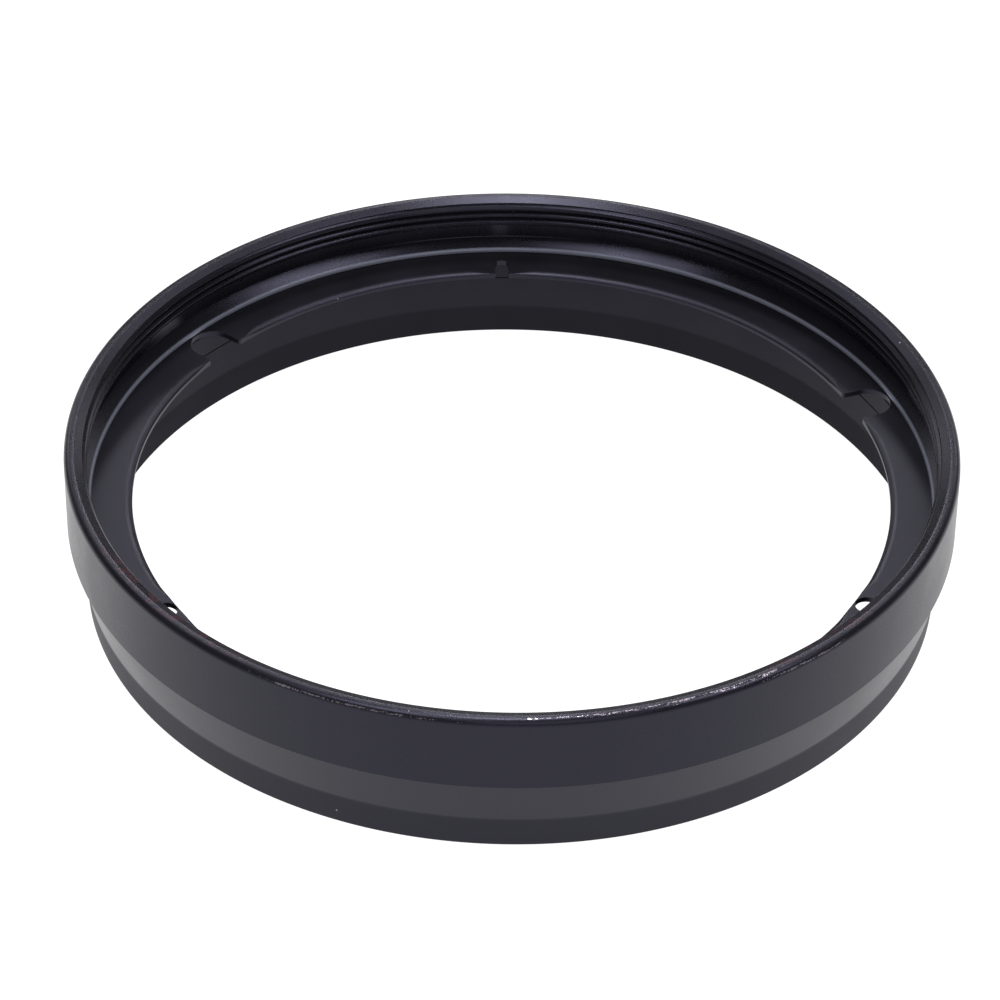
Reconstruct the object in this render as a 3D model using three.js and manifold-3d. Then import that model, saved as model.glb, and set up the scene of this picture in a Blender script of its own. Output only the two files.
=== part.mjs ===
// A short round lens hood: a front ring with a female filter thread, a thin notched
// bayonet plate, a retaining ring that holds the plate up against the front ring's shoulder,
// and a tapered rear collar that slips over the lens.
// Millimetres, +Z along the optical axis towards the subject, origin on the axis at the
// level of the rear edge.

import * as THREE from 'three';
import { mergeVertices } from 'three/addons/utils/BufferGeometryUtils.js';
import Module from 'manifold-3d';

const wasm = await Module();
wasm.setup();

// ---------- driving dimensions ----------

const FACETS = 72;              // facets round every turned surface

const TOTAL_HEIGHT = 14.8;
const BAND_RADIUS = 40.1;       // upper, cylindrical part of the outside
const BAND_BOTTOM = 7.6;        // where the cylinder ends and the taper begins

const TAPER_TOP_RADIUS = 39.9;
const TAPER_BOTTOM_RADIUS = 38.8;
const TAPER_BOTTOM = 3.1;       // where the taper ends and the skirt begins
const SKIRT_RADIUS = 38.55;     // outside of the rear edge
const BORE_RADIUS = 37.7;       // inside of the rear collar, which slips over the lens
const BORE_SEAM = 6.3;          // where the retaining ring stands on the rear collar

const RIM_EDGE = 0.6;           // rounding of the front rim's outer edge
const RIM_CREST = 0.3;          // width of the flat top of the front rim
const RIM_INNER = [38.45, 14.5];  // radius and height of the foot of the slope inside the crest
const THREAD_PITCH = 0.75;
const THREAD_MINOR_RADIUS = 38.1;
const THREAD_MAJOR_RADIUS = 38.55;
const THREAD_TOP = 13.95;       // the mouth of the thread flares from here to the rim's slope
const THREAD_BOTTOM = 11.8;     // the thread runs from here to the front rim
const RIDGE_HEIGHT_AT_X = 13.1; // middle of one thread ridge, at azimuth 0

const RELIEF_RADIUS = 39.1;     // undercut below the thread
const RELIEF_BOTTOM = 10.25;    // where the sloping shoulder meets the undercut
const SHOULDER_RADIUS = 37.9;   // inner edge of the shoulder that the plate bears on
const SHOULDER_LAND = 0.3;      // height of that edge

const PLATE_INNER_RADIUS = 34.2;
const PLATE_BOTTOM = 8.6;
const PLATE_THICKNESS = 0.52;
const ROUND_STEP = Math.PI / 10;  // turn from one corner to the next on a notch or small hole
// A notch has round ends, reaches out to a radius, and opens into the plate's inner edge
// through a mouth as wide as itself or narrower.
const WIDE_NOTCH = { azimuth: 22.6, radius: 2.05, reach: 37.8, halfMouth: 2.05 };
const WIDE_NOTCH_COUNT = 3;
const NARROW_NOTCH = { azimuth: 92.0, radius: 0.65, reach: 36.5, halfMouth: 0.5 };
// Round holes that all but break through the plate's inner edge.
const HOLE_AZIMUTHS = [212.0, 332.0];
const HOLE_RADIUS = 1.05;
const HOLE_CENTRE = 35.33;

const SOCKET_RADIUS = 39.0;     // recess in the front ring and collar for plate and retainer
const SOCKET_CLEARANCE = 0.05;  // round the plate and the retaining ring
const FACE_GAP = 0.03;          // between faces that bear on each other
const EDGE_BREAK = 0.1;

const PLATE_TOP = PLATE_BOTTOM + PLATE_THICKNESS;
const SHOULDER_BOTTOM = PLATE_TOP + FACE_GAP;

// ---------- finishes ----------

const anodised = new THREE.MeshStandardMaterial({ color: 0x19181c, roughness: 0.42, metalness: 0.85 });
const anodisedPlate = new THREE.MeshStandardMaterial({ color: 0x1d1c20, roughness: 0.5, metalness: 0.8 });

// ---------- helpers ----------

// A ring turned about Z from a closed outline of [radius, height] corners, listed
// anticlockwise with the radius to the right and the height upwards.
function turned(outline) {
  const corners = outline.map(([radius, height]) => new THREE.Vector2(radius, height));
  corners.push(corners[0].clone());
  const geometry = new THREE.LatheGeometry(corners, FACETS);
  geometry.rotateX(Math.PI / 2);
  return positionOnly(geometry);
}

function positionOnly(geometry) {
  geometry.deleteAttribute('normal');
  geometry.deleteAttribute('uv');
  return mergeVertices(geometry, 1e-5);
}

function toSolid(geometry) {
  return new wasm.Manifold(new wasm.Mesh({
    numProp: 3,
    vertProperties: new Float32Array(geometry.attributes.position.array),
    triVerts: new Uint32Array(geometry.index.array),
  }));
}

function toGeometry(solid) {
  const mesh = solid.getMesh();
  const geometry = new THREE.BufferGeometry();
  geometry.setAttribute('position', new THREE.BufferAttribute(mesh.vertProperties, 3));
  geometry.setIndex(new THREE.BufferAttribute(mesh.triVerts, 1));
  return geometry;
}

function quarterRound(centreRadius, centreHeight, radius, steps) {
  const corners = [];
  for (let step = 0; step <= steps; step += 1) {
    const angle = (step / steps) * Math.PI / 2;
    corners.push([centreRadius + radius * Math.cos(angle), centreHeight + radius * Math.sin(angle)]);
  }
  return corners;
}

// The V-shaped space between the ridges of the filter thread: a section that climbs
// round the bore as a right-hand helix, from the undercut to above the front rim.
function threadGroove() {
  const depth = THREAD_MAJOR_RADIUS - THREAD_MINOR_RADIUS;
  const halfAtBore = THREAD_PITCH * 0.4;
  const halfAtRoot = THREAD_PITCH * 0.1;
  const slope = (halfAtBore - halfAtRoot) / depth;
  const halfAtMouth = halfAtBore + slope * 0.05;
  const section = [
    [THREAD_MINOR_RADIUS - 0.05, -halfAtMouth],
    [THREAD_MAJOR_RADIUS, -halfAtRoot],
    [THREAD_MAJOR_RADIUS, halfAtRoot],
    [THREAD_MINOR_RADIUS - 0.05, halfAtMouth],
  ];
  const start = RIDGE_HEIGHT_AT_X - 3.5 * THREAD_PITCH;
  const end = TOTAL_HEIGHT + THREAD_PITCH;
  const steps = Math.round((end - start) / THREAD_PITCH * FACETS);
  const positions = [];
  const index = [];
  for (let step = 0; step <= steps; step += 1) {
    const angle = (step / FACETS) * Math.PI * 2;
    const height = start + THREAD_PITCH * step / FACETS;
    for (const [radius, offset] of section) {
      positions.push(radius * Math.cos(angle), radius * Math.sin(angle), height + offset);
    }
  }
  for (let step = 0; step < steps; step += 1) {
    for (let side = 0; side < 4; side += 1) {
      const here = step * 4 + side;
      const next = step * 4 + (side + 1) % 4;
      index.push(here, next + 4, next, here, here + 4, next + 4);
    }
  }
  const last = steps * 4;
  index.push(0, 1, 2, 0, 2, 3);
  index.push(last, last + 2, last + 1, last, last + 3, last + 2);
  const geometry = new THREE.BufferGeometry();
  geometry.setAttribute('position', new THREE.Float32BufferAttribute(positions, 3));
  geometry.setIndex(index);
  return geometry;
}

// ---------- pieces ----------

function frontRing() {
  const blank = toSolid(turned([
    [SOCKET_RADIUS, BAND_BOTTOM],
    [BAND_RADIUS - EDGE_BREAK, BAND_BOTTOM],
    [BAND_RADIUS, BAND_BOTTOM + EDGE_BREAK],
    ...quarterRound(BAND_RADIUS - RIM_EDGE, TOTAL_HEIGHT - RIM_EDGE, RIM_EDGE, 3),
    [BAND_RADIUS - RIM_EDGE - RIM_CREST, TOTAL_HEIGHT],
    RIM_INNER,
    [THREAD_MINOR_RADIUS, THREAD_TOP],
    [THREAD_MINOR_RADIUS, THREAD_BOTTOM],
    [RELIEF_RADIUS, THREAD_BOTTOM],
    [RELIEF_RADIUS, RELIEF_BOTTOM],
    [SHOULDER_RADIUS, SHOULDER_BOTTOM + SHOULDER_LAND],
    [SHOULDER_RADIUS, SHOULDER_BOTTOM],
    [SOCKET_RADIUS, SHOULDER_BOTTOM],
  ]));
  return toGeometry(blank.subtract(toSolid(threadGroove())));
}

// The plate's inner edge is broken by three wide notches that the lens's lugs pass, and by a
// narrow one. Two small round holes lie close to the edge, and each of these three small
// openings is a third of a turn from the next.
function bayonetPlate() {
  const notches = [NARROW_NOTCH];
  for (let copy = 0; copy < WIDE_NOTCH_COUNT; copy += 1) {
    notches.push({ ...WIDE_NOTCH, azimuth: WIDE_NOTCH.azimuth + copy * 360 / WIDE_NOTCH_COUNT });
  }
  notches.sort((first, second) => first.azimuth - second.azimuth);

  const outline = new THREE.Shape();
  const opening = new THREE.Path();
  const outerRadius = SOCKET_RADIUS - SOCKET_CLEARANCE;
  outline.setFromPoints(arcPoints(outerRadius, 0, 360, FACETS));
  const edge = [];
  notches.forEach((notch, place) => {
    const next = notches[(place + 1) % notches.length];
    const from = notch.azimuth + mouthHalfAngle(notch);
    const to = next.azimuth - mouthHalfAngle(next) + (next.azimuth < notch.azimuth ? 360 : 0);
    edge.push(...notchPoints(notch));
    edge.push(...arcPoints(PLATE_INNER_RADIUS, from, to, Math.round((to - from) / 360 * FACETS)));
  });
  opening.setFromPoints(edge);
  outline.holes.push(opening);
  for (const azimuth of HOLE_AZIMUTHS) {
    const hole = new THREE.Path();
    hole.setFromPoints(holePoints(azimuth));
    outline.holes.push(hole);
  }

  const geometry = new THREE.ExtrudeGeometry(outline, { depth: PLATE_THICKNESS, bevelEnabled: false });
  geometry.translate(0, 0, PLATE_BOTTOM);
  return positionOnly(geometry);
}

function mouthHalfAngle(notch) {
  return THREE.MathUtils.radToDeg(Math.asin(notch.halfMouth / PLATE_INNER_RADIUS));
}

function arcPoints(radius, from, to, steps) {
  const points = [];
  for (let step = 0; step < steps; step += 1) {
    const angle = THREE.MathUtils.degToRad(from + (to - from) * step / steps);
    points.push(new THREE.Vector2(radius * Math.cos(angle), radius * Math.sin(angle)));
  }
  return points;
}

// The outline of a notch from one corner of its mouth up to the other, in the order of
// rising azimuth: the inner round end, as far as the mouth leaves of it, and the outer one.
function notchPoints(notch) {
  const quarter = Math.PI / 2;
  const opening = Math.acos(notch.halfMouth / notch.radius);
  const mouthHeight = Math.sqrt(PLATE_INNER_RADIUS ** 2 - notch.halfMouth ** 2);
  const innerCentre = mouthHeight + notch.radius * Math.sin(opening);
  const outerCentre = notch.reach - notch.radius;
  const points = [
    ...roundEnd(innerCentre, notch.radius, -quarter - opening, -quarter),
    ...roundEnd(outerCentre, notch.radius, -quarter, quarter),
    ...roundEnd(innerCentre, notch.radius, quarter, quarter + opening).slice(0, -1),
  ];
  const turn = THREE.MathUtils.degToRad(notch.azimuth);
  return points.map((point) => point.rotateAround(new THREE.Vector2(), turn));
}

function holePoints(azimuth) {
  const turn = THREE.MathUtils.degToRad(azimuth);
  const points = roundEnd(HOLE_CENTRE, HOLE_RADIUS, 0, 2 * Math.PI).slice(0, -1);
  return points.map((point) => point.rotateAround(new THREE.Vector2(), turn));
}

function roundEnd(centre, radius, from, to) {
  const steps = Math.ceil((to - from) / ROUND_STEP - 1e-6);
  const points = [];
  for (let step = 0; step <= steps; step += 1) {
    const angle = from + (to - from) * step / Math.max(steps, 1);
    points.push(new THREE.Vector2(centre + radius * Math.cos(angle), radius * Math.sin(angle)));
  }
  return points;
}

function retainingRing() {
  const outerRadius = SOCKET_RADIUS - SOCKET_CLEARANCE;
  const bottom = BORE_SEAM + FACE_GAP;
  const top = PLATE_BOTTOM - FACE_GAP;
  return turned([
    [BORE_RADIUS + EDGE_BREAK, bottom],
    [outerRadius, bottom],
    [outerRadius, top],
    [BORE_RADIUS, top],
    [BORE_RADIUS, bottom + EDGE_BREAK],
  ]);
}

function rearCollar() {
  const taperTop = BAND_BOTTOM - FACE_GAP;
  return turned([
    [BORE_RADIUS + EDGE_BREAK, 0],
    [SKIRT_RADIUS - EDGE_BREAK, 0],
    [SKIRT_RADIUS, EDGE_BREAK],
    [TAPER_BOTTOM_RADIUS, TAPER_BOTTOM],
    [TAPER_TOP_RADIUS, taperTop],
    [SOCKET_RADIUS, taperTop],
    [SOCKET_RADIUS, BORE_SEAM],
    [BORE_RADIUS + EDGE_BREAK, BORE_SEAM],
    [BORE_RADIUS, BORE_SEAM - EDGE_BREAK],
    [BORE_RADIUS, EDGE_BREAK],
  ]);
}

// ---------- assembly ----------

function piece(name, geometry, material) {
  const mesh = new THREE.Mesh(geometry, material);
  mesh.name = name;
  return mesh;
}

const group = new THREE.Group();
group.add(
  piece('front_ring', frontRing(), anodised),
  piece('bayonet_plate', bayonetPlate(), anodisedPlate),
  piece('retaining_ring', retainingRing(), anodised),
  piece('rear_collar', rearCollar(), anodised),
);

export default group;
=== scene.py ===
import math

import bpy
import numpy as np
from mathutils import Matrix, Vector
from mathutils.geometry import delaunay_2d_cdt


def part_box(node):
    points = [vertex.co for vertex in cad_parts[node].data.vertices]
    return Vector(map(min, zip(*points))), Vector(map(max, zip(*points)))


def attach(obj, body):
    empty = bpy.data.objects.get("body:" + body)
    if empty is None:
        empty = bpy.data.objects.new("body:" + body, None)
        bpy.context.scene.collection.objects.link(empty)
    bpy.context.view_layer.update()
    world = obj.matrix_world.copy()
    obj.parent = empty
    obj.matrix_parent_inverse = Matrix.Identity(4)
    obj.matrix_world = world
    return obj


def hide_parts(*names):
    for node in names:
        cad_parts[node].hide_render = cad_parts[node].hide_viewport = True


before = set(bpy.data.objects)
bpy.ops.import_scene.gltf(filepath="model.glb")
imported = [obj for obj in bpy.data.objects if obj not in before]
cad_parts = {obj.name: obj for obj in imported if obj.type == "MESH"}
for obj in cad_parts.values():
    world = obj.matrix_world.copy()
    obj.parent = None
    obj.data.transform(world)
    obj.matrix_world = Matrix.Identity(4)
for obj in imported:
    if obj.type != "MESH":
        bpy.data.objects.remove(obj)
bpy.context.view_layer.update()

MM = 0.001

# ---------- sizes, in millimetres ----------

# From the CAD frame.
BAND_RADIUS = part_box("front_ring")[1].x / MM
TOTAL_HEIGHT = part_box("front_ring")[1].z / MM
BAND_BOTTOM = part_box("front_ring")[0].z / MM
PLATE_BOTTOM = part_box("bayonet_plate")[0].z / MM
PLATE_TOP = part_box("bayonet_plate")[1].z / MM
PLATE_OUTER_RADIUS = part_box("bayonet_plate")[1].x / MM
RETAINER_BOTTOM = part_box("retaining_ring")[0].z / MM
RETAINER_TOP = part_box("retaining_ring")[1].z / MM
RETAINER_OUTER_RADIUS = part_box("retaining_ring")[1].x / MM
TAPER_TOP_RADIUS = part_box("rear_collar")[1].x / MM
TAPER_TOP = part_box("rear_collar")[1].z / MM

# The same as the CAD model's own.
TAPER_BOTTOM_RADIUS = 38.8
TAPER_BOTTOM = 3.1
SKIRT_RADIUS = 38.55
BORE_RADIUS = 37.7
BORE_SEAM = 6.3
SOCKET_RADIUS = 39.0
RIM_EDGE = 0.6                  # rounding of the rim's outer edge
RIM_CREST = 0.3                 # width of the flat top of the rim
RIM_INNER_RADIUS = 38.45        # foot of the slope inside the crest
RIM_INNER_HEIGHT = 14.5
THREAD_PITCH = 0.75
THREAD_MINOR_RADIUS = 38.1
THREAD_DEPTH = 0.45
THREAD_TOP = 13.95              # the mouth flares from here to the rim's slope
THREAD_BOTTOM = 11.8
RIDGE_HEIGHT_AT_X = 13.1        # height of the middle of one thread ridge at azimuth 0
RELIEF_RADIUS = 39.1
RELIEF_BOTTOM = 10.25
SHOULDER_RADIUS = 37.9
SHOULDER_LAND = 0.3
SHOULDER_BOTTOM = PLATE_TOP + 0.03
PLATE_INNER_RADIUS = 34.2
WIDE_NOTCH = {"azimuth": 22.6, "radius": 2.05, "reach": 37.8, "half_mouth": 2.05, "tip": 0.25}
WIDE_NOTCH_COUNT = 3
NARROW_NOTCH = {"azimuth": 92.0, "radius": 0.65, "reach": 36.5, "half_mouth": 0.5, "tip": 0.15}
HOLE_AZIMUTHS = (212.0, 332.0)
HOLE_RADIUS = 1.05
HOLE_CENTRE = 35.33

SEGMENTS = 480                  # round every turned surface
THREAD_ROWS_PER_PITCH = 20
THREAD_ROW_GAP = 0.03           # from the rim's slope to the first row of the thread

CAMERA_DISTANCE = 405.1         # from the middle of the rear edge


# ---------- outlines ----------

def rounded(corners, steps=4):
    """The points of a closed outline given by [x, y, rounding radius] corners."""
    points = []
    for place, (x, y, radius) in enumerate(corners):
        here = np.array((x, y), float)
        if radius == 0:
            points.append(here)
            continue
        back = unit(np.array(corners[place - 1][:2]) - here)
        on = unit(np.array(corners[(place + 1) % len(corners)][:2]) - here)
        half = 0.5 * math.acos(float(np.clip(back @ on, -1, 1)))
        centre = here + unit(back + on) * radius / math.sin(half)
        start = here + back * radius / math.tan(half) - centre
        end = here + on * radius / math.tan(half) - centre
        first = math.atan2(start[1], start[0])
        sweep = math.remainder(math.atan2(end[1], end[0]) - first, math.tau)
        for step in range(steps + 1):
            angle = first + sweep * step / steps
            points.append(centre + radius * np.array((math.cos(angle), math.sin(angle))))
    return np.array(points)


def unit(vector):
    return vector / np.linalg.norm(vector)


# ---------- turned rings ----------

def ring_object(name, radii, heights):
    """A closed ring from radii[turn, row] and heights[row], in millimetres, with smooth normals."""
    turns, rows = radii.shape
    angle = np.arange(turns)[:, None] * math.tau / turns
    levels = np.broadcast_to(heights, radii.shape)
    points = np.stack([radii * np.cos(angle), radii * np.sin(angle), levels], -1)
    along = np.roll(points, -1, 1) - np.roll(points, 1, 1)
    around = np.roll(points, -1, 0) - np.roll(points, 1, 0)
    normals = np.cross(around, along)
    normals /= np.linalg.norm(normals, axis=-1, keepdims=True)

    turn, row = np.meshgrid(np.arange(turns), np.arange(rows), indexing="ij")
    next_turn, next_row = (turn + 1) % turns, (row + 1) % rows
    faces = np.stack([turn * rows + row, next_turn * rows + row,
                      next_turn * rows + next_row, turn * rows + next_row], -1).reshape(-1, 4)
    return mesh_object(name, points.reshape(-1, 3), faces.tolist(), normals.reshape(-1, 3))


def mesh_object(name, points, faces, normals):
    mesh = bpy.data.meshes.new(name)
    mesh.from_pydata((points * MM).tolist(), [], faces)
    mesh.polygons.foreach_set("use_smooth", [True] * len(mesh.polygons))
    mesh.normals_split_custom_set_from_vertices(normals.tolist())
    mesh.update()
    piece = bpy.data.objects.new(name, mesh)
    bpy.context.scene.collection.objects.link(piece)
    return piece


def plain_ring(name, corners, steps=4):
    """A ring turned from an outline of [radius, height, rounding] corners, listed anticlockwise."""
    outline = rounded(corners, steps)
    return ring_object(name, np.repeat(outline[None, :, 0], SEGMENTS, 0), outline[:, 1])


def thread_radius(height, azimuth):
    """Radius of the threaded wall: a right-hand helix of ridges, bevelled at its top and bottom."""
    ridge = RIDGE_HEIGHT_AT_X + THREAD_PITCH * azimuth / math.tau
    off_ridge = np.abs((height - ridge) / THREAD_PITCH - np.round((height - ridge) / THREAD_PITCH))
    flank = soft_clip((off_ridge - 0.09) / 0.32, 0.1)
    wall = THREAD_MINOR_RADIUS + THREAD_DEPTH * flank
    flare = (RIM_INNER_RADIUS - THREAD_MINOR_RADIUS) / (RIM_INNER_HEIGHT - THREAD_TOP)
    mouth = THREAD_MINOR_RADIUS + flare * (height - THREAD_TOP)
    lead = RELIEF_RADIUS - 0.42 - (height - THREAD_BOTTOM)
    return soft_max(soft_max(wall, mouth, 0.02), lead, 0.02)


def soft_max(first, second, width):
    gap = first - second
    return 0.5 * (first + second + np.sqrt(gap * gap + width * width))


def soft_clip(value, width):
    """value held between 0 and 1, with rounded corners."""
    above = 0.5 * (value + np.sqrt(value * value + width * width))
    below = above - 1
    return above - 0.5 * (below + np.sqrt(below * below + width * width))


def front_ring():
    top = TOTAL_HEIGHT
    outside = rounded([
        [SOCKET_RADIUS, BAND_BOTTOM, 0.05],
        [BAND_RADIUS, BAND_BOTTOM, 0.07],
        [BAND_RADIUS, top, RIM_EDGE],
        [BAND_RADIUS - RIM_EDGE - RIM_CREST, top, 0.6],
        [RIM_INNER_RADIUS, RIM_INNER_HEIGHT, 0.06],
        [THREAD_MINOR_RADIUS, THREAD_TOP, 0],
    ], steps=8)[:-1]
    inside = rounded([
        [THREAD_MINOR_RADIUS + 0.7, THREAD_BOTTOM, 0.03],
        [RELIEF_RADIUS, THREAD_BOTTOM, 0.1],
        [RELIEF_RADIUS, RELIEF_BOTTOM, 0.15],
        [SHOULDER_RADIUS, SHOULDER_BOTTOM + SHOULDER_LAND, 0.3],
        [SHOULDER_RADIUS, SHOULDER_BOTTOM, 0.04],
        [SOCKET_RADIUS, SHOULDER_BOTTOM, 0.05],
        [SOCKET_RADIUS, BAND_BOTTOM + 1, 0],
    ], steps=6)[7:]
    rows = round((top - THREAD_BOTTOM) / THREAD_PITCH * THREAD_ROWS_PER_PITCH)
    thread_heights = np.linspace(outside[-1, 1] - THREAD_ROW_GAP, THREAD_BOTTOM, rows)
    azimuth = np.arange(SEGMENTS)[:, None] * math.tau / SEGMENTS
    thread = thread_radius(thread_heights[None, :], azimuth)

    def every_turn(points):
        return np.repeat(points[None, :, 0], SEGMENTS, 0)

    radii = np.concatenate([every_turn(outside), thread, every_turn(inside)], 1)
    heights = np.concatenate([outside[:, 1], thread_heights, inside[:, 1]])
    return ring_object("front_ring_turned", radii, heights)


def retaining_ring():
    return plain_ring("retaining_ring_turned", [
        [BORE_RADIUS, RETAINER_BOTTOM, 0.1],
        [RETAINER_OUTER_RADIUS, RETAINER_BOTTOM, 0.05],
        [RETAINER_OUTER_RADIUS, RETAINER_TOP, 0.05],
        [BORE_RADIUS, RETAINER_TOP, 0.05],
    ])


def rear_collar():
    return plain_ring("rear_collar_turned", [
        [BORE_RADIUS, 0, 0.25],
        [SKIRT_RADIUS, 0, 0.15],
        [TAPER_BOTTOM_RADIUS, TAPER_BOTTOM, 1.0],
        [TAPER_TOP_RADIUS, TAPER_TOP, 0.06],
        [SOCKET_RADIUS, TAPER_TOP, 0.05],
        [SOCKET_RADIUS, BORE_SEAM, 0.05],
        [BORE_RADIUS, BORE_SEAM, 0.1],
    ], steps=6)


# ---------- bayonet plate ----------

EDGE_EASE = 0.03                # rounding of the plate's edges
ROLL_WIDTH = 0.7                # the inner edge's upper side rolls down, clear of its openings
ROLL_DEPTH = 0.24
ROLL_FADE = 3                   # degrees from an opening over which the roll fades in
WIDE_NOTCH_CLEARANCE = 4.5      # degrees each side of an opening's middle without the roll
NARROW_NOTCH_CLEARANCE = 2.0
HOLE_CLEARANCE = 2.5
TOP_TILTS = [90, 75, 60, 45, 30, 15, 0]   # degrees from level, row by row down the plate's edge
BOTTOM_TILTS = [0, -30, -60, -90]


def arc(centre, radius, start, end, spacing):
    """Points from start to end, both included, on a circle round centre."""
    steps = max(1, math.ceil(abs(end - start) * radius / spacing))
    angles = np.linspace(start, end, steps + 1)
    return np.stack([centre[0] + radius * np.cos(angles), centre[1] + radius * np.sin(angles)], 1)


def turned_by(points, angle):
    cos, sin = math.cos(angle), math.sin(angle)
    return points @ np.array([[cos, sin], [-sin, cos]])


def notch_side(notch):
    """A notch's outline from its outermost point to its mouth, on the side of rising azimuth.

    The notch points along +X. The corner of its mouth is rounded, and the outline ends where
    that rounding meets the plate's inner edge."""
    radius, tip = notch["radius"], notch["tip"]
    opening = math.acos(notch["half_mouth"] / radius)
    mouth = math.sqrt(PLATE_INNER_RADIUS ** 2 - notch["half_mouth"] ** 2)
    inner_centre = mouth + radius * math.sin(opening)
    quarter = math.pi / 2
    stretches = [arc((notch["reach"] - radius, 0), radius, 0, quarter, 0.1)]
    if opening > 0:
        # The rounding touches the notch's inner round end and the plate's inner edge.
        reach = PLATE_INNER_RADIUS + tip
        along = (reach ** 2 - (radius + tip) ** 2 + inner_centre ** 2) / (2 * inner_centre)
        centre = (along, math.sqrt(reach ** 2 - along ** 2))
        start = math.atan2(centre[1], centre[0] - inner_centre)
        stretches.append(arc((inner_centre, 0), radius, quarter, start, 0.1)[:-1])
    else:
        # The rounding touches the notch's straight side and the plate's inner edge.
        height = radius + tip
        centre = (math.sqrt((PLATE_INNER_RADIUS + tip) ** 2 - height ** 2), height)
        start = quarter
    end = math.atan2(centre[1], centre[0])
    stretches.append(arc(centre, tip, start + math.pi, end + math.pi, 0.03))
    return np.concatenate(stretches)


def notch_points(notch):
    """One notch's outline, from one corner of its mouth to the other, as azimuth rises."""
    side = notch_side(notch)
    other_side = side[:0:-1] * (1, -1)
    return turned_by(np.concatenate([other_side, side]), math.radians(notch["azimuth"]))


def plate_inner_outline():
    """The plate's inner edge with its four notches, anticlockwise."""
    kinds = [NARROW_NOTCH]
    for copy in range(WIDE_NOTCH_COUNT):
        kinds.append({**WIDE_NOTCH, "azimuth": WIDE_NOTCH["azimuth"] + copy * 360 / WIDE_NOTCH_COUNT})
    kinds.sort(key=lambda kind: kind["azimuth"])
    notches = [notch_points(kind) for kind in kinds]
    stretches = []
    for place, notch in enumerate(notches):
        following = notches[(place + 1) % len(notches)]
        start = math.atan2(notch[-1][1], notch[-1][0])
        end = math.atan2(following[0][1], following[0][0])
        sweep = (end - start) % math.tau
        stretches.append(notch)
        stretches.append(arc((0, 0), PLATE_INNER_RADIUS, start, start + sweep, 0.5)[1:-1])
    return np.concatenate(stretches)


def hole_outline(azimuth):
    return turned_by(arc((HOLE_CENTRE, 0), HOLE_RADIUS, 0, math.tau, 0.1)[:-1], math.radians(azimuth))


def edge_roll(outline):
    """Width and depth, in two columns, of the upper side's rounding at each point of an outline."""
    azimuths = np.degrees(np.arctan2(outline[:, 1], outline[:, 0]))
    clear = np.full(len(outline), 180.0)
    openings = [(WIDE_NOTCH["azimuth"] + copy * 360 / WIDE_NOTCH_COUNT, WIDE_NOTCH_CLEARANCE)
                for copy in range(WIDE_NOTCH_COUNT)]
    openings.append((NARROW_NOTCH["azimuth"], NARROW_NOTCH_CLEARANCE))
    openings += [(azimuth, HOLE_CLEARANCE) for azimuth in HOLE_AZIMUTHS]
    for azimuth, half_width in openings:
        away = np.abs((azimuths - azimuth + 180) % 360 - 180)
        clear = np.minimum(clear, away - half_width)
    on_edge = np.hypot(outline[:, 0], outline[:, 1]) < PLATE_INNER_RADIUS + 0.001
    fade = (np.clip(clear / ROLL_FADE, 0, 1) * on_edge)[:, None]
    return EDGE_EASE + (ROLL_WIDTH - EDGE_EASE) * fade, EDGE_EASE + (ROLL_DEPTH - EDGE_EASE) * fade


def outward_normals(outline):
    """Normals of a closed anticlockwise outline of a hole, pointing into the hole."""
    before = outline - np.roll(outline, 1, 0)
    after = np.roll(outline, -1, 0) - outline
    before /= np.linalg.norm(before, axis=1, keepdims=True)
    after /= np.linalg.norm(after, axis=1, keepdims=True)
    along = before + after
    along /= np.linalg.norm(along, axis=1, keepdims=True)
    return np.stack([-along[:, 1], along[:, 0]], 1)


def bayonet_plate():
    """A flat plate whose top and bottom are joined by walls with rounded edges."""
    outer = arc((0, 0), PLATE_OUTER_RADIUS, 0, math.tau, 0.5)[:-1]
    openings = [plate_inner_outline()] + [hole_outline(azimuth) for azimuth in HOLE_AZIMUTHS]
    walls = [(outer, -outward_normals(outer), True)]
    walls += [(opening, outward_normals(opening), False) for opening in openings]
    points, normals, faces = [], [], []
    borders, top_ids, bottom_ids = [], [], []

    for outline, sideways, flip in walls:
        # Rows from the top face's border, round the edge, down to the bottom face's border.
        first = sum(len(rows) for rows in points)
        count = len(outline)
        tilts = TOP_TILTS + BOTTOM_TILTS
        for place, tilt in enumerate(tilts):
            cos, sin = math.cos(math.radians(tilt)), math.sin(math.radians(tilt))
            if place < len(TOP_TILTS):
                width, depth = edge_roll(outline)
                middle = PLATE_TOP - depth
            else:
                width = depth = np.full((count, 1), EDGE_EASE)
                middle = PLATE_BOTTOM + depth
            flat = outline - sideways * width * (1 - cos)
            points.append(np.column_stack([flat, middle + depth * sin]))
            normal = np.column_stack([sideways * cos * depth, sin * width])
            normals.append(normal / np.linalg.norm(normal, axis=1, keepdims=True))
        for row in range(len(tilts) - 1):
            for side in range(count):
                here = first + row * count + side
                beside = first + row * count + (side + 1) % count
                face = [here, beside, beside + count, here + count]
                faces.append(face[::-1] if flip else face)
        borders.append([outline - sideways * edge_roll(outline)[0], outline - sideways * EDGE_EASE])
        top_ids += range(first, first + count)
        bottom_ids += range(first + (len(tilts) - 1) * count, first + len(tilts) * count)

    for triangle in flat_triangles([top for top, bottom in borders]):
        faces.append([top_ids[corner] for corner in triangle])
    for triangle in flat_triangles([bottom for top, bottom in borders]):
        faces.append([bottom_ids[corner] for corner in reversed(triangle)])
    return mesh_object("bayonet_plate_pressed", np.concatenate(points), faces, np.concatenate(normals))


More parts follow.
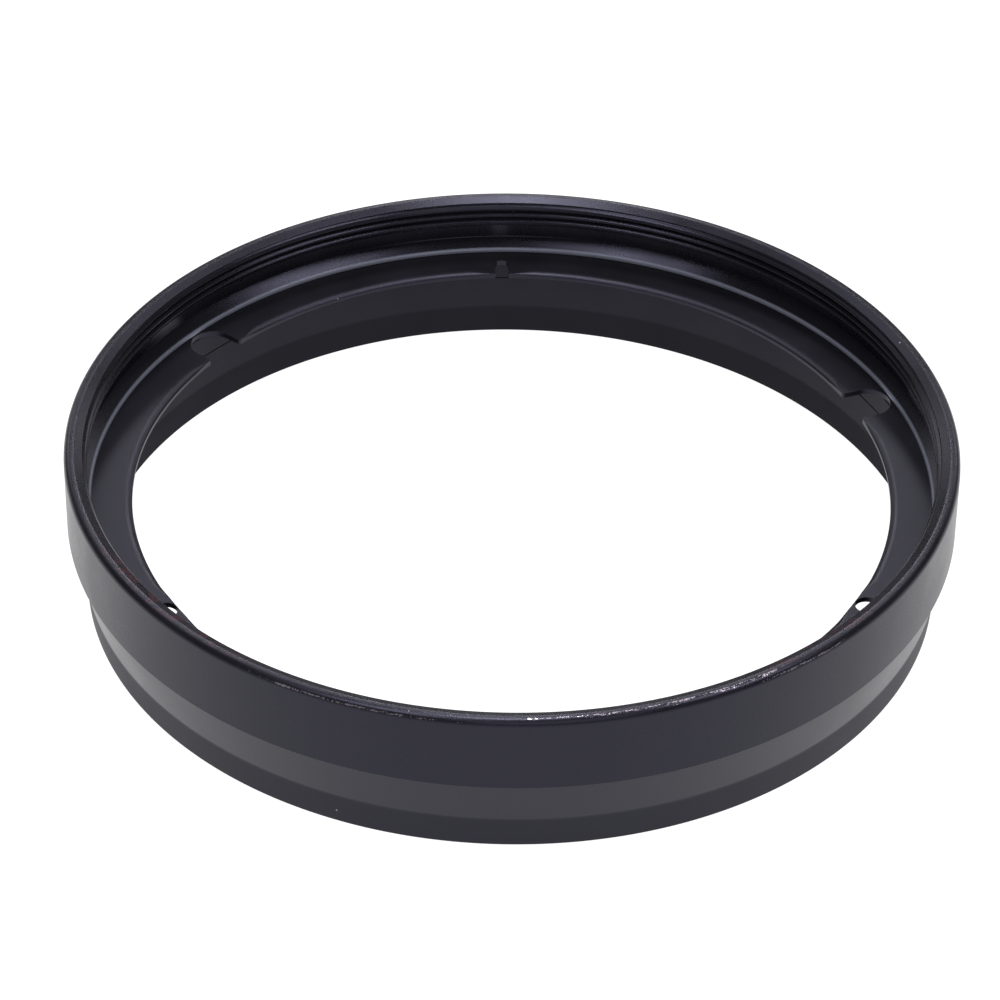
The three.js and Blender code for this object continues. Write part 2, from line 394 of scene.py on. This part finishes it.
def flat_triangles(borders):
    """Anticlockwise triangles on the borders' own points, within the first and outside the rest."""
    edges = []
    for border in borders:
        first = len(edges)
        edges += [(first + i, first + (i + 1) % len(border)) for i in range(len(border))]
    filled = delaunay_2d_cdt([Vector(point) for point in np.concatenate(borders)], edges, [], 0, 1e-7)
    corners, triangles, origins = filled[0], filled[2], filled[3]
    kept = []
    for triangle in triangles:
        centre = sum((corners[corner] for corner in triangle), Vector((0, 0))) / 3
        within, *holes = [inside(centre, border) for border in borders]
        if within and not any(holes):
            kept.append([origins[corner][0] for corner in triangle])
    return kept


def inside(point, outline):
    """Whether a point lies within a closed outline."""
    x, y = outline[:, 0], outline[:, 1]
    next_x, next_y = np.roll(x, -1), np.roll(y, -1)
    spans = (y > point.y) != (next_y > point.y)
    with np.errstate(divide="ignore", invalid="ignore"):
        crossing = x + (point.y - y) * (next_x - x) / (next_y - y)
    return bool(np.count_nonzero(spans & (crossing > point.x)) % 2)


# ---------- materials ----------

class Nodes:
    """Adds nodes to a material and links them."""

    def __init__(self, name):
        self.material = bpy.data.materials.new(name)
        self.material.use_nodes = True
        self.tree = self.material.node_tree
        self.tree.nodes.clear()

    def add(self, kind, inputs=None, **settings):
        node = self.tree.nodes.new(kind)
        for setting, value in settings.items():
            setattr(node, setting, value)
        for socket, value in (inputs or {}).items():
            if isinstance(value, bpy.types.NodeSocket):
                self.tree.links.new(value, node.inputs[socket])
            else:
                node.inputs[socket].default_value = value
        return node

    def math(self, operation, first, second=0.0, third=0.0):
        return self.add("ShaderNodeMath", {0: first, 1: second, 2: third}, operation=operation).outputs[0]

    def clamped(self, value, low, high, to_low=0.0, to_high=1.0):
        """value moved from the range low to high to the range to_low to to_high, and held there."""
        return self.add("ShaderNodeMapRange", {0: value, 1: low, 2: high, 3: to_low, 4: to_high},
                        clamp=True).outputs[0]

    def band(self, value, start, full, fading, end):
        """1 where value is between full and fading, falling to 0 at start and end."""
        return self.math("MULTIPLY", self.clamped(value, start, full),
                         self.clamped(value, fading, end, 1.0, 0.0))

    def vector(self, x, y, z):
        return self.add("ShaderNodeCombineXYZ", {0: x, 1: y, 2: z}).outputs[0]

    def noise(self, vector, scale, detail=2.0, w=None):
        inputs = {"Vector": vector, "Scale": scale, "Detail": detail}
        if w is not None:
            inputs["W"] = w
        return self.add("ShaderNodeTexNoise", inputs,
                        noise_dimensions="3D" if w is None else "4D").outputs["Fac"]

    def mix(self, factor, first, second):
        return self.add("ShaderNodeMix", {"Factor": factor, 6: first, 7: second},
                        data_type="RGBA").outputs[2]


BLACK = (0.006, 0.0057, 0.0075)
RIM_ANISOTROPY = 0.75
VIOLET = (0.71, 0.69, 1.0, 1)   # tint of the anodised surface's gloss
# bare metal of the worn rim edge, placed so that it also paints in the rim's highlights
BARE_METAL_HIGHLIGHT = (0.38, 0.34, 0.39, 1)
RUST_RED = (0.035, 0.013, 0.017, 1)
# painted highlight: a lighter tone for the narrow edge at the shoulder's foot
SHOULDER_HIGHLIGHT = (0.2, 0.21, 0.27, 1)
MATTE = (0.0135, 0.013, 0.016, 1)
RETAINER_MATTE = tuple(0.85 * channel for channel in MATTE[:3])
DUST = (0.42, 0.43, 0.47, 1)
BUMP_HEIGHT = 0.00001           # metres, for a bump of full strength


class Anodised(Nodes):
    """Black anodised aluminium, finely turned about the axis, with grain, patches and dust."""

    def __init__(self, name, colour, roughness, grain, turning, anisotropy=0.0):
        super().__init__(name)
        place = self.add("ShaderNodeTexCoord").outputs["Object"]
        self.place = place
        self.x, self.y, self.z = self.add("ShaderNodeSeparateXYZ", {0: place}).outputs
        squares = self.math("ADD", self.math("MULTIPLY", self.x, self.x),
                            self.math("MULTIPLY", self.y, self.y))
        self.radius = self.math("SQRT", squares)

        streaks = self.streaks(60.0, 9000.0, 3.0)
        fine = self.noise(place, 7000.0, 3.0)
        patches = self.noise(place, 160.0, 4.0)
        height = self.math("ADD", self.math("MULTIPLY", streaks, turning), self.math("MULTIPLY", fine, grain))
        bump = self.add("ShaderNodeBump", {"Height": height, "Distance": BUMP_HEIGHT, "Strength": 1.0})

        self.rough = self.math("ADD", self.clamped(patches, 0.3, 0.7, roughness - 0.03, roughness + 0.03),
                               self.clamped(fine, 0.3, 0.7, -0.03, 0.03))
        lighter = tuple(channel * 1.5 for channel in colour)
        self.tone = self.mix(self.clamped(patches, 0.35, 0.7), (*colour, 1), (*lighter, 1))
        self.metal = 0.0
        self.add_dust()

        tangent = self.add("ShaderNodeTangent", direction_type="RADIAL", axis="Z").outputs[0]
        self.shader = self.add("ShaderNodeBsdfPrincipled", {
            "Normal": bump.outputs[0], "IOR": 1.41, "Specular Tint": VIOLET, "Tangent": tangent,
            "Anisotropic": anisotropy, "Anisotropic Rotation": 0.25})
        self.add("ShaderNodeOutputMaterial", {"Surface": self.shader.outputs[0]})

    def streaks(self, along, across, detail):
        """Noise drawn out round the axis: fine across the turning marks, long along them."""
        stretched = self.vector(self.math("MULTIPLY", self.x, along), self.math("MULTIPLY", self.y, along),
                                self.math("MULTIPLY", self.z, across))
        return self.noise(stretched, 1.0, detail, self.math("MULTIPLY", self.radius, across))

    def add_dust(self):
        """Sparse pale specks, a few hundredths of a millimetre across."""
        specks = self.add("ShaderNodeTexVoronoi", {"Vector": self.place, "Scale": 420.0})
        near = self.clamped(specks.outputs["Distance"], 0.02, 0.045, 1.0, 0.0)
        chosen = self.add("ShaderNodeSeparateColor", {0: specks.outputs["Color"]}).outputs[0]
        kept = self.math("GREATER_THAN", chosen, 0.86)
        self.tone = self.mix(self.math("MULTIPLY", near, kept), self.tone, DUST)

    def roughen(self, amount, extra):
        """Adds to the roughness where amount is 1."""
        self.rough = self.math("ADD", self.rough, self.math("MULTIPLY", amount, extra))

    def add_wear_and_highlight(self, amount):
        """Bare metal where amount is 1: worn metal that also stands in for a highlight."""
        self.tone = self.mix(amount, self.tone, BARE_METAL_HIGHLIGHT)
        self.metal = amount

    def finish(self):
        for socket, value in (("Base Color", self.tone), ("Roughness", self.rough), ("Metallic", self.metal)):
            if isinstance(value, bpy.types.NodeSocket):
                self.tree.links.new(value, self.shader.inputs[socket])
            else:
                self.shader.inputs[socket].default_value = value
        return self.material


def front_ring_finish():
    """The turned finish, with a worn rim edge whose bare metal also stands in for the rim's highlights,
    reddish patches and a highlight painted on the shoulder's foot.
    """
    n = Anodised("ring_black", BLACK, 0.29, 0.03, 0.06, RIM_ANISOTROPY)
    azimuth = n.math("MULTIPLY", n.math("ARCTAN2", n.y, n.x), 180 / math.pi)
    # How far the rounded edge has turned from facing up, in radians.
    outwards = n.math("SUBTRACT", n.radius, (BAND_RADIUS - RIM_EDGE) * MM)
    upwards = n.math("SUBTRACT", n.z, (TOTAL_HEIGHT - RIM_EDGE) * MM)
    turned = n.math("ARCTAN2", outwards, upwards)
    # Worn bare metal on the rim's edge, partly a painted highlight.
    n.add_wear_and_highlight(worn_rim_and_highlight(n, azimuth, turned))
    n.tone = n.mix(reddish_patches(n, azimuth, turned), n.tone, RUST_RED)
    # Painted highlight on the narrow edge at the foot of the shoulder.
    n.tone = n.mix(shoulder_foot_highlight(n), n.tone, SHOULDER_HIGHLIGHT)
    return n.finish()


def worn_rim_and_highlight(n, azimuth, turned):
    """Two broken lines of scratched bare metal along the near side of the rim's rounded edge, partly real
    wear and partly a painted highlight there.
    """
    # The upper line, at the start of the rounding, is widest towards the near right.
    wide = n.band(azimuth, -90, -78, -60, -54)
    width = n.math("ADD", 0.35, n.math("MULTIPLY", wide, 0.65))
    fade = n.math("SUBTRACT", 1.0, n.math("DIVIDE", n.clamped(turned, 0.1, 0.8), width))
    upper = n.math("MULTIPLY", n.band(azimuth, -108, -76, -57, -52),
                   n.math("MULTIPLY", n.clamped(turned, -0.05, 0.06), fade))
    # The lower line, on the rounding's outer part, shows at both ends.
    ends = n.math("ADD", n.band(azimuth, -127, -118, -106, -94), n.band(azimuth, -60, -54, -46, -42))
    lower = n.math("MULTIPLY", ends, n.band(turned, 0.85, 0.95, 1.1, 1.25))
    line = n.math("MAXIMUM", upper, lower)

    scratches = n.streaks(900.0, 14000.0, 2.0)
    gaps = n.noise(n.place, 700.0, 4.0)
    speckle = n.noise(n.place, 5500.0, 2.0)
    amount = n.math("ADD", n.math("MULTIPLY", line, 0.34), n.math("MULTIPLY", gaps, 0.45))
    amount = n.math("ADD", amount, n.math("MULTIPLY", speckle, 0.9))
    cut = n.clamped(n.math("ADD", n.math("MULTIPLY", scratches, 0.8), amount), 1.33, 1.51)
    return n.math("MULTIPLY", cut, n.math("GREATER_THAN", line, 0.02))


def reddish_patches(n, azimuth, turned):
    """Blotches on the rim's top and slope, at both ends of the worn stretch that also carries the painted
    highlight.
    """
    patches = n.math("ADD", n.band(azimuth, -162, -152, -130, -122), n.band(azimuth, -58, -52, -44, -36))
    blotches = n.clamped(n.noise(n.place, 900.0, 4.0), 0.47, 0.56)
    on_top = n.math("MULTIPLY", n.clamped(turned, 0.1, 0.3, 1.0, 0.0),
                    n.math("GREATER_THAN", n.z, (RIM_INNER_HEIGHT - 0.1) * MM))
    return n.math("MULTIPLY", n.math("MULTIPLY", patches, blotches), on_top)


def shoulder_foot_highlight(n):
    """The narrow edge at the foot of the shoulder, above the plate, where a lighter tone paints in a
    highlight.
    """
    inner = n.clamped(n.radius, (SHOULDER_RADIUS + 0.1) * MM, (SHOULDER_RADIUS + 0.25) * MM, 1.0, 0.0)
    low = n.clamped(n.z, (SHOULDER_BOTTOM + 0.5) * MM, (SHOULDER_BOTTOM + 0.6) * MM, 1.0, 0.0)
    return n.math("MULTIPLY", inner, low)


def collar_finish():
    """The turned finish, matt in the bore and duller on the skirt."""
    n = Anodised("collar_black", BLACK, 0.3, 0.06, 0.2)
    bore = n.clamped(n.radius, (BORE_RADIUS + 0.1) * MM, (BORE_RADIUS + 0.2) * MM, 1.0, 0.0)
    n.roughen(bore, 0.4)
    n.tone = n.mix(bore, n.tone, MATTE)
    n.roughen(n.clamped(n.z, (TAPER_BOTTOM - 0.3) * MM, TAPER_BOTTOM * MM, 1.0, 0.0), 0.22)
    return n.finish()


# ---------- stage ----------

def floor():
    side = 1.0
    corners = np.array([[-side, -side, 0], [side, -side, 0], [side, side, 0], [-side, side, 0]]) / MM
    table = mesh_object("table", corners, [[0, 1, 2, 3]], np.array([[0, 0, 1]] * 4))
    n = Nodes("white_table")
    shader = n.add("ShaderNodeBsdfPrincipled", {
        "Base Color": (0.2, 0.2, 0.2, 1), "Roughness": 0.8,
        "Emission Color": (1, 1, 1, 1), "Emission Strength": 1.0})
    n.add("ShaderNodeOutputMaterial", {"Surface": shader.outputs[0]})
    table.data.materials.append(n.material)
    table.location.z = -0.00002


def soft_box(name, direction, distance, width, height, radiance):
    """A rectangular lamp that faces the hood, with a given brightness of its surface."""
    light = bpy.data.lights.new(name, "AREA")
    light.shape = "RECTANGLE"
    light.size, light.size_y = width, height
    light.energy = radiance * math.pi * width * height
    lamp = bpy.data.objects.new(name, light)
    bpy.context.scene.collection.objects.link(lamp)
    lamp.location = Vector(direction).normalized() * distance
    lamp.rotation_euler = Vector(direction).to_track_quat("Z", "Y").to_euler()


def studio():
    world = bpy.data.worlds.new("studio")
    bpy.context.scene.world = world
    world.use_nodes = True
    world.node_tree.nodes["Background"].inputs["Color"].default_value = (0.13, 0.13, 0.13, 1)
    world.node_tree.nodes["Background"].inputs["Strength"].default_value = 1.0

    soft_box("left_box", (-0.27, -0.15, 0.95), 1.2, 0.36, 0.42, 8.0)
    soft_box("right_box", (0.45, -0.01, 0.89), 1.2, 0.36, 0.42, 8.0)
    soft_box("back_high", (0.0, 0.34, 0.94), 1.2, 0.16, 0.3, 26.0)
    soft_box("back_low", (0.0, 0.84, 0.54), 1.3, 0.15, 0.25, 9.0)
    soft_box("low_left", (-0.42, 0.79, 0.44), 1.3, 0.3, 0.3, 2.5)
    soft_box("low_right", (0.42, 0.79, 0.44), 1.3, 0.3, 0.3, 2.5)
    soft_box("back_left", (-0.24, 0.60, 0.77), 1.3, 0.46, 0.42, 1.8)
    soft_box("back_right", (0.24, 0.60, 0.77), 1.3, 0.46, 0.42, 1.8)
    soft_box("front_fill", (0.15, -0.75, 0.65), 1.2, 0.7, 0.9, 1.2)


def camera():
    """Stands in front of the hood and looks down on it, very slightly turned and rolled."""
    distance = CAMERA_DISTANCE * MM
    elevation = math.radians(37.84)
    down, turn, roll = math.radians(36.9905), math.radians(-0.1845), math.radians(0.689)
    look = Vector((math.sin(turn) * math.cos(down), math.cos(turn) * math.cos(down), -math.sin(down)))
    right = look.cross(Vector((0, 0, 1))).normalized()
    up = right.cross(look)
    rolled_right = right * math.cos(roll) + up * math.sin(roll)
    rolled_up = up * math.cos(roll) - right * math.sin(roll)
    data = bpy.data.cameras.new("camera")
    data.sensor_width = 36.0
    data.lens = 159.16
    data.clip_start, data.clip_end = 0.01, 20.0
    eye = bpy.data.objects.new("camera", data)
    bpy.context.scene.collection.objects.link(eye)
    place = Vector((0, -distance * math.cos(elevation), distance * math.sin(elevation)))
    eye.matrix_world = Matrix((
        (rolled_right.x, rolled_up.x, -look.x, place.x),
        (rolled_right.y, rolled_up.y, -look.y, place.y),
        (rolled_right.z, rolled_up.z, -look.z, place.z),
        (0, 0, 0, 1)))
    bpy.context.scene.camera = eye


# ---------- putting it together ----------

def place_piece(piece, node, material):
    piece.data.materials.append(material)
    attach(piece, "root")
    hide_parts(node)


camera()
studio()
floor()

place_piece(front_ring(), "front_ring", front_ring_finish())
place_piece(bayonet_plate(), "bayonet_plate",
            Anodised("plate_black", BLACK, 0.36, 0.15, 0.1).finish())
place_piece(retaining_ring(), "retaining_ring",
            Anodised("retainer_black", RETAINER_MATTE, 0.7, 0.06, 0.2).finish())
place_piece(rear_collar(), "rear_collar",
            collar_finish())

bpy.context.scene.view_settings.view_transform = "Standard"
